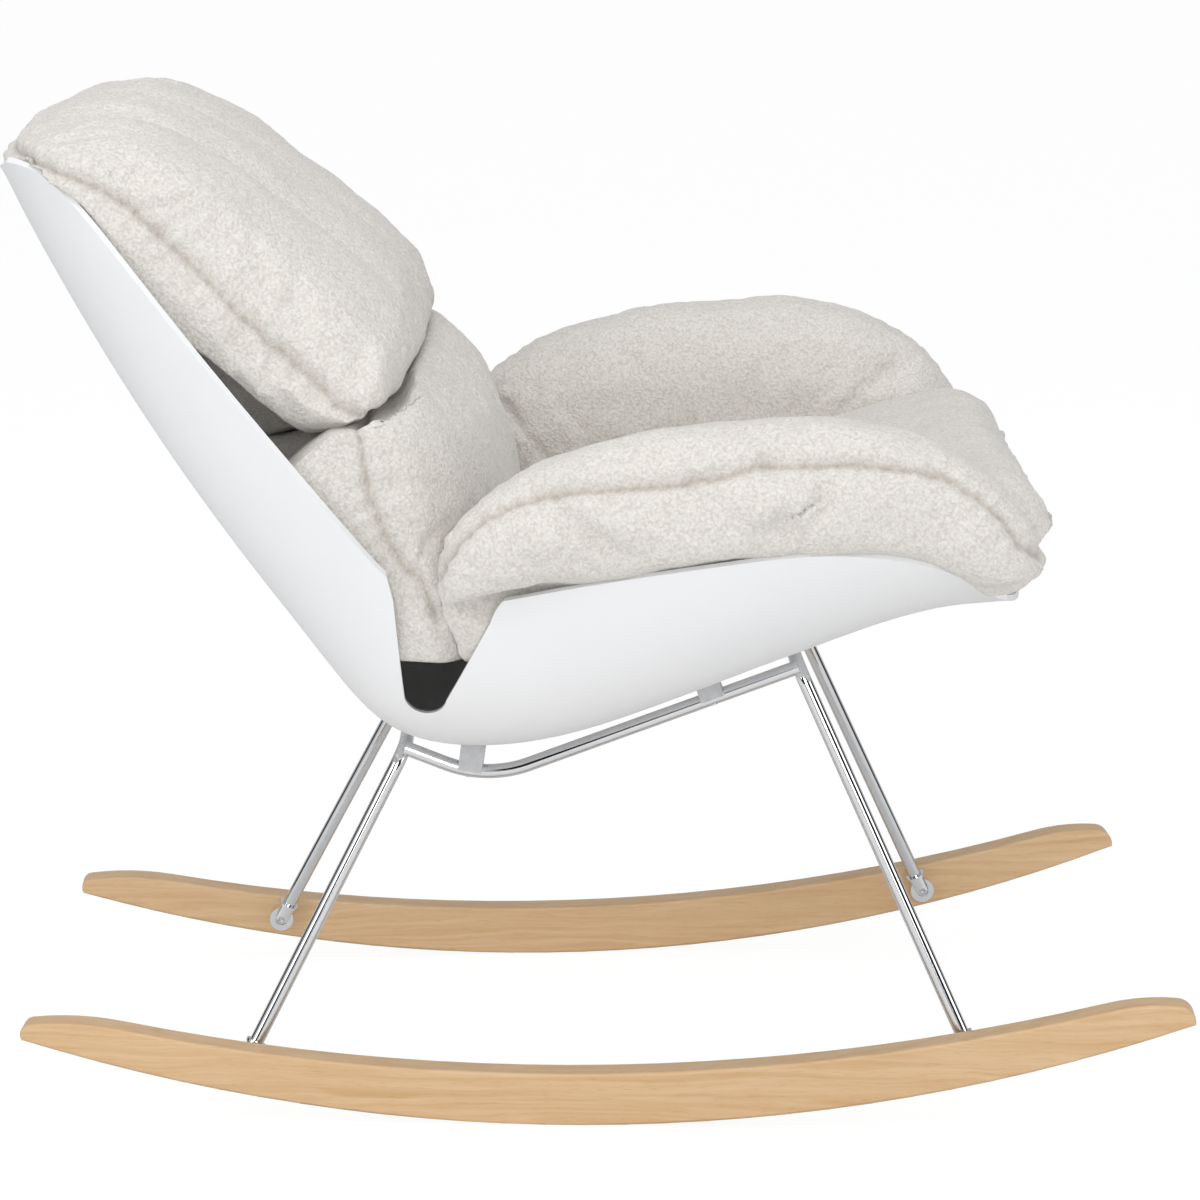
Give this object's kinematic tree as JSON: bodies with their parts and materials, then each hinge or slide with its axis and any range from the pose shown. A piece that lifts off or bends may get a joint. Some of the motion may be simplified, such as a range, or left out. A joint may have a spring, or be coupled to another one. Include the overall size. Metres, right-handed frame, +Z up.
{
  "type": "rocking chair",
  "caption": "Rocking chair with a white moulded bucket shell, a loose padded boucle liner, chromed rod legs and curved beech rockers",
  "frame": {"origin": "on the floor, on the chair's middle plane, below the line where both rockers touch the floor at rest", "axes": "+X to the chair's front, +Y to the sitter's left, +Z up"},
  "size_m": [0.9831, 0.745, 0.838],
  "materials": {
    "shell_plastic": "satin moulded polypropylene, cool white",
    "boucle": "warm off-white looped wool-like cloth",
    "beech": "clear matt lacquer over steamed beech",
    "rod_chrome": "bright chromed steel rod",
    "lug_chrome": "bright chromed casting",
    "bright_screws": "zinc plated steel fasteners",
    "insert_brass": "turned brass threaded inserts",
    "spacer_plastic": "milky grey moulded plastic"
  },
  "bodies": {
    "chair": {"seat_shell": "shell_plastic", "rocker_right": "beech", "rocker_left": "beech", "rear_leg_frame": "rod_chrome", "front_leg_frame": "rod_chrome", "side_rail_right": "rod_chrome", "side_rail_left": "rod_chrome", "rear_lug_right": "lug_chrome", "front_lug_right": "lug_chrome", "rear_lug_left": "lug_chrome", "front_lug_left": "lug_chrome", "rocker_bolts": "bright_screws", "rocker_inserts": "insert_brass", "rear_spacer_right": "spacer_plastic", "front_spacer_right": "spacer_plastic", "rear_spacer_left": "spacer_plastic", "front_spacer_left": "spacer_plastic", "shell_screws": "bright_screws", "shell_tee_nuts": "bright_screws"},
    "cushion": {"upper_back_cushion": "boucle", "lumbar_cushion": "boucle", "seat_cushion": "boucle", "arm_cushion_right": "boucle", "arm_cushion_left": "boucle"}
  },
  "joints": [
    {"name": "cushion_lift", "type": "slide", "parent": "chair", "child": "cushion", "axis": [0.45, 0, 0.893], "range_m": [0, 0.5]}
  ]
}
